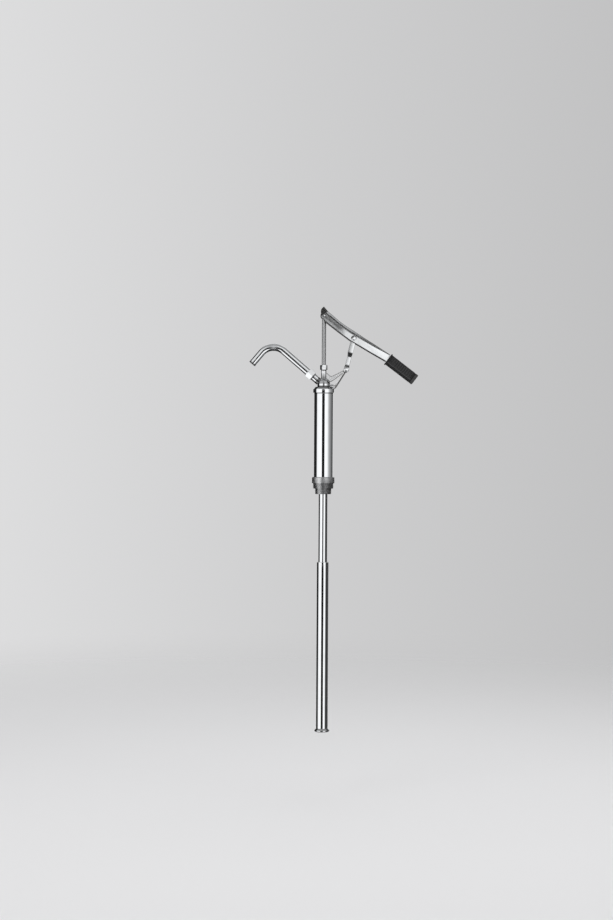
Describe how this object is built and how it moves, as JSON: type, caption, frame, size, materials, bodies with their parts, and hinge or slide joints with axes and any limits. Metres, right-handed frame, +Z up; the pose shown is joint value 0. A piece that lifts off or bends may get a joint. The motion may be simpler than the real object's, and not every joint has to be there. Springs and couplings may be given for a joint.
{
  "type": "lever-action drum transfer pump",
  "caption": "Hand pump for drums: lever and link drive a rod and piston in a barrel, liquid rises through a telescopic suction tube and leaves by a bent spout.",
  "frame": {"origin": "on the pump axis, at the plane where the bung adapter's flange seats on a drum", "axes": "+Z up along the pump axis, -X towards the spout, +X towards the hand lever, Y across the lever's plane"},
  "size_m": [0.4881, 0.0652, 1.2276],
  "materials": {
    "adapter_zinc": "dull grey cast zinc alloy, unpolished",
    "barrel_chrome": "bright polished plating",
    "tube_chrome": "bright drawn tube",
    "head_chrome": "bright polished plating",
    "rod_steel": "ground and polished steel",
    "lever_steel": "bright plated pressed steel",
    "pin_steel": "bright plated pins and rivets",
    "grip_plastic": "black moulded plastic, satin",
    "seal_rubber": "black nitrile rubber",
    "valve_brass": "turned brass",
    "guide_nylon": "natural nylon",
    "foot_zinc": "grey cast zinc alloy",
    "ball_steel": "polished ball"
  },
  "bodies": {
    "pump_body": {"bung_adapter": "adapter_zinc", "suction_tube_inner": "tube_chrome", "barrel_base": "valve_brass", "inlet_valve_cage": "valve_brass", "barrel_tube": "barrel_chrome", "head_gasket": "seal_rubber", "head_cap": "head_chrome", "rod_guide_bush": "valve_brass", "gland_packing": "seal_rubber", "gland_nut": "head_chrome", "fulcrum_bracket": "head_chrome", "bracket_screw": "pin_steel", "outlet_nipple": "head_chrome", "spout_seal": "seal_rubber", "spout_union_nut": "head_chrome", "spout_tube": "tube_chrome", "tube_guide_ring": "guide_nylon"},
    "rod": {"piston_rod": "rod_steel", "rod_pin": "pin_steel", "rod_washer_front": "pin_steel", "rod_washer_rear": "pin_steel", "valve_stop_washer": "pin_steel", "valve_sleeve": "valve_brass", "piston_body": "valve_brass", "piston_cup": "seal_rubber", "piston_follower": "valve_brass", "piston_nut": "pin_steel"},
    "lever": {"lever_channel": "lever_steel", "lever_grip": "grip_plastic", "lever_rivet_front": "pin_steel", "lever_rivet_rear": "pin_steel"},
    "link": {"link_plate_front": "lever_steel", "link_plate_rear": "lever_steel", "link_spacer": "pin_steel", "link_pin": "pin_steel", "fulcrum_pin": "pin_steel"},
    "outer_tube": {"suction_tube_outer": "tube_chrome", "slide_collar": "guide_nylon", "slide_seal": "seal_rubber", "foot_valve_body": "foot_zinc", "foot_cross_pin": "pin_steel"},
    "inlet_valve": {"inlet_valve_disc": "seal_rubber"},
    "piston_valve": {"piston_valve_disc": "seal_rubber"},
    "foot_ball": {"foot_valve_ball": "ball_steel"}
  },
  "joints": [
    {"name": "rod_slide", "type": "slide", "parent": "pump_body", "child": "rod", "axis": [0, 0, -1], "range_m": [0, 0.11]},
    {"name": "lever_pivot", "type": "hinge", "parent": "rod", "child": "lever", "pos_m": [0, 0, 0.48369], "axis": [0, -1, 0], "range_deg": [0, 59.03]},
    {"name": "link_pivot", "type": "hinge", "parent": "pump_body", "child": "link", "pos_m": [0.0645, 0, 0.327], "axis": [0, 1, 0], "range_deg": [0, 9.06]},
    {"name": "suction_tube_slide", "type": "slide", "parent": "pump_body", "child": "outer_tube", "axis": [0, 0, 1], "range_m": [-0.19, 0.19]},
    {"name": "inlet_valve_lift", "type": "slide", "parent": "pump_body", "child": "inlet_valve", "axis": [0, 0, 1], "range_m": [0, 0.006]},
    {"name": "piston_valve_lift", "type": "slide", "parent": "rod", "child": "piston_valve", "axis": [0, 0, 1], "range_m": [0, 0.006]},
    {"name": "foot_ball_lift", "type": "slide", "parent": "outer_tube", "child": "foot_ball", "axis": [0, 0, 1], "range_m": [0, 0.005]}
  ],
  "couplings": [
    {"joint": "lever_pivot", "follows": "rod_slide", "rad_per_m": 9.3654},
    {"joint": "link_pivot", "follows": "rod_slide", "rad_per_m": 1.4361}
  ]
}
